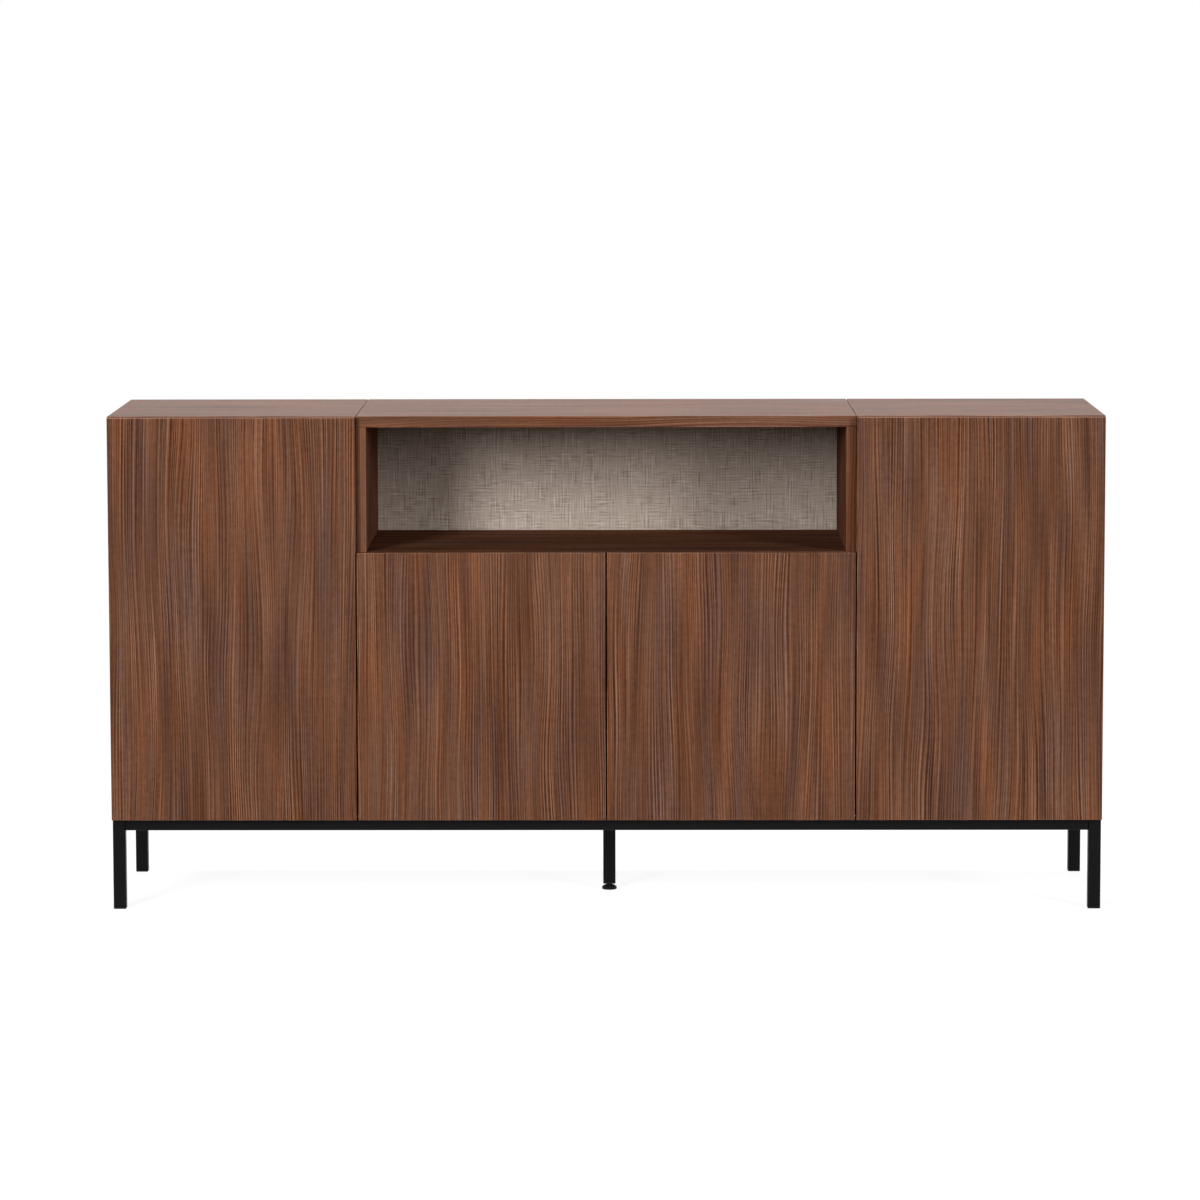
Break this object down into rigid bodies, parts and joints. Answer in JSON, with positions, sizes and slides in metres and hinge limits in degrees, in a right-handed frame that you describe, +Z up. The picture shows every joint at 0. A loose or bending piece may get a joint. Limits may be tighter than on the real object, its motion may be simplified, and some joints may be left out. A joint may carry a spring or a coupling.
{
  "type": "office credenza",
  "caption": "Long office credenza of walnut-finish board: tall push-open cabinets at the ends, a low one under an open niche between them, on a black square-tube steel base.",
  "frame": {"origin": "on the floor, under the middle of the credenza's overall box", "axes": "+X to the right seen from the front, +Y towards the back, +Z up; the doors face -Y"},
  "size_m": [1.7998, 0.45, 0.9],
  "materials": {
    "walnut_board": "satin walnut-grain laminate",
    "linen_board": "matt linen-weave laminate",
    "black_steel": "satin powder coat",
    "black_plastic": "fine texture",
    "nickel_steel": "nickel plate",
    "zinc_steel": "zinc plate",
    "grey_plastic": "satin"
  },
  "bodies": {
    "cabinet": {"base_left_frame": "black_steel", "base_right_frame": "black_steel", "base_front_rail": "black_steel", "base_rear_rail": "black_steel", "base_centre_frame": "black_steel", "front_left_glide": "black_plastic", "front_right_glide": "black_plastic", "rear_left_glide": "black_plastic", "rear_right_glide": "black_plastic", "left_cabinet_left_side": "walnut_board", "left_cabinet_right_side": "walnut_board", "left_cabinet_top": "walnut_board", "left_cabinet_bottom": "walnut_board", "left_cabinet_shelf": "walnut_board", "left_cabinet_back": "walnut_board", "centre_cabinet_left_side": "walnut_board", "centre_cabinet_right_side": "walnut_board", "centre_cabinet_top": "walnut_board", "centre_cabinet_bottom": "walnut_board", "centre_cabinet_shelf": "walnut_board", "centre_cabinet_back": "walnut_board", "niche_floor": "walnut_board", "niche_back": "linen_board", "right_cabinet_left_side": "walnut_board", "right_cabinet_right_side": "walnut_board", "right_cabinet_top": "walnut_board", "right_cabinet_bottom": "walnut_board", "right_cabinet_shelf": "walnut_board", "right_cabinet_back": "walnut_board", "left_door_lower_hinge_arm": "nickel_steel", "left_door_upper_hinge_arm": "nickel_steel", "centre_left_door_lower_hinge_arm": "nickel_steel", "centre_left_door_upper_hinge_arm": "nickel_steel", "centre_right_door_lower_hinge_arm": "nickel_steel", "centre_right_door_upper_hinge_arm": "nickel_steel", "right_door_lower_hinge_arm": "nickel_steel", "right_door_upper_hinge_arm": "nickel_steel", "left_door_latch_housing": "grey_plastic", "centre_left_door_latch_housing": "grey_plastic", "centre_right_door_latch_housing": "grey_plastic", "right_door_latch_housing": "grey_plastic"},
    "left_door": {"left_door": "walnut_board", "left_door_lower_hinge_cup": "nickel_steel", "left_door_upper_hinge_cup": "nickel_steel"},
    "centre_left_door": {"centre_left_door": "walnut_board", "centre_left_door_lower_hinge_cup": "nickel_steel", "centre_left_door_upper_hinge_cup": "nickel_steel"},
    "centre_right_door": {"centre_right_door": "walnut_board", "centre_right_door_lower_hinge_cup": "nickel_steel", "centre_right_door_upper_hinge_cup": "nickel_steel"},
    "right_door": {"right_door": "walnut_board", "right_door_lower_hinge_cup": "nickel_steel", "right_door_upper_hinge_cup": "nickel_steel"},
    "left_latch_plunger": {"left_door_latch_plunger": "black_plastic"},
    "centre_left_latch_plunger": {"centre_left_door_latch_plunger": "black_plastic"},
    "centre_right_latch_plunger": {"centre_right_door_latch_plunger": "black_plastic"},
    "right_latch_plunger": {"right_door_latch_plunger": "black_plastic"},
    "levelling_foot": {"levelling_pad": "black_plastic", "levelling_screw": "zinc_steel"}
  },
  "joints": [
    {"name": "left_door_hinge", "type": "hinge", "parent": "cabinet", "child": "left_door", "pos_m": [-0.8935, -0.22, 0.5325], "axis": [0, 0, -1], "range_deg": [0, 95]},
    {"name": "centre_left_door_hinge", "type": "hinge", "parent": "cabinet", "child": "centre_left_door", "pos_m": [-0.445, -0.22, 0.41025], "axis": [0, 0, -1], "range_deg": [0, 95]},
    {"name": "centre_right_door_hinge", "type": "hinge", "parent": "cabinet", "child": "centre_right_door", "pos_m": [0.445, -0.22, 0.41025], "axis": [0, 0, 1], "range_deg": [0, 95]},
    {"name": "right_door_hinge", "type": "hinge", "parent": "cabinet", "child": "right_door", "pos_m": [0.8935, -0.22, 0.5325], "axis": [0, 0, 1], "range_deg": [0, 95]},
    {"name": "left_latch_push", "type": "slide", "parent": "cabinet", "child": "left_latch_plunger", "axis": [0, 1, 0], "range_m": [0, 0.003], "stiffness_N_per_m": 600, "springref_m": -0.008},
    {"name": "centre_left_latch_push", "type": "slide", "parent": "cabinet", "child": "centre_left_latch_plunger", "axis": [0, 1, 0], "range_m": [0, 0.003], "stiffness_N_per_m": 600, "springref_m": -0.008},
    {"name": "centre_right_latch_push", "type": "slide", "parent": "cabinet", "child": "centre_right_latch_plunger", "axis": [0, 1, 0], "range_m": [0, 0.003], "stiffness_N_per_m": 600, "springref_m": -0.008},
    {"name": "right_latch_push", "type": "slide", "parent": "cabinet", "child": "right_latch_plunger", "axis": [0, 1, 0], "range_m": [0, 0.003], "stiffness_N_per_m": 600, "springref_m": -0.008},
    {"name": "levelling_foot_height", "type": "slide", "parent": "cabinet", "child": "levelling_foot", "axis": [0, 0, 1], "range_m": [-0.012, 0]}
  ]
}
